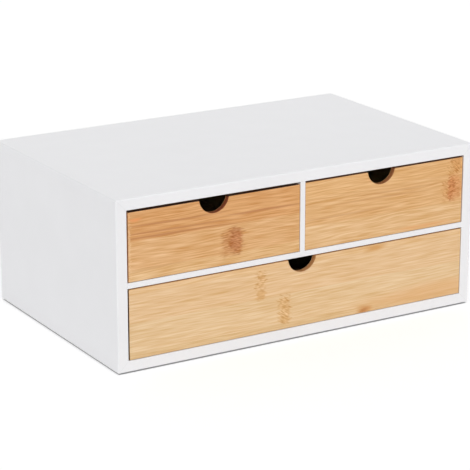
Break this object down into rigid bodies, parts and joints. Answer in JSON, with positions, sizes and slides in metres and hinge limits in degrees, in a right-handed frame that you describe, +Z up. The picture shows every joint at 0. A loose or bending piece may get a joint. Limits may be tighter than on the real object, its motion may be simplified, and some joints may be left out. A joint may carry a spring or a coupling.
{
  "type": "desktop mini drawers",
  "caption": "Small desktop drawer box: a painted casing with small drawers side by side above a wide drawer, each pulled by a half-round finger notch.",
  "frame": {"origin": "on the surface the drawers stand on, under the middle of the casing", "axes": "+Z up, the drawer fronts face -Y, +X to the right seen from the front"},
  "size_m": [0.33, 0.21, 0.138],
  "materials": {
    "white_paint": "satin white paint on fibreboard",
    "bamboo": "laminated bamboo, clear matt lacquer",
    "plywood": "sanded pale plywood",
    "steel": "bright brads",
    "foam_pad": "dark foam"
  },
  "bodies": {
    "casing": {"top_panel": "white_paint", "bottom_panel": "white_paint", "left_side_panel": "white_paint", "right_side_panel": "white_paint", "shelf": "white_paint", "divider": "white_paint", "back_panel": "white_paint", "back_panel_brads": "steel", "foot_pad_front_left": "foam_pad", "foot_pad_front_right": "foam_pad", "foot_pad_rear_left": "foam_pad", "foot_pad_rear_right": "foam_pad"},
    "left_drawer": {"left_drawer_front": "bamboo", "left_drawer_left_side": "plywood", "left_drawer_right_side": "plywood", "left_drawer_back": "plywood", "left_drawer_bottom": "plywood"},
    "right_drawer": {"right_drawer_front": "bamboo", "right_drawer_left_side": "plywood", "right_drawer_right_side": "plywood", "right_drawer_back": "plywood", "right_drawer_bottom": "plywood"},
    "wide_drawer": {"wide_drawer_front": "bamboo", "wide_drawer_left_side": "plywood", "wide_drawer_right_side": "plywood", "wide_drawer_back": "plywood", "wide_drawer_bottom": "plywood"}
  },
  "joints": [
    {"name": "left_drawer_slide", "type": "slide", "parent": "casing", "child": "left_drawer", "axis": [0, -1, 0], "range_m": [0, 0.15]},
    {"name": "right_drawer_slide", "type": "slide", "parent": "casing", "child": "right_drawer", "axis": [0, -1, 0], "range_m": [0, 0.15]},
    {"name": "wide_drawer_slide", "type": "slide", "parent": "casing", "child": "wide_drawer", "axis": [0, -1, 0], "range_m": [0, 0.15]}
  ]
}
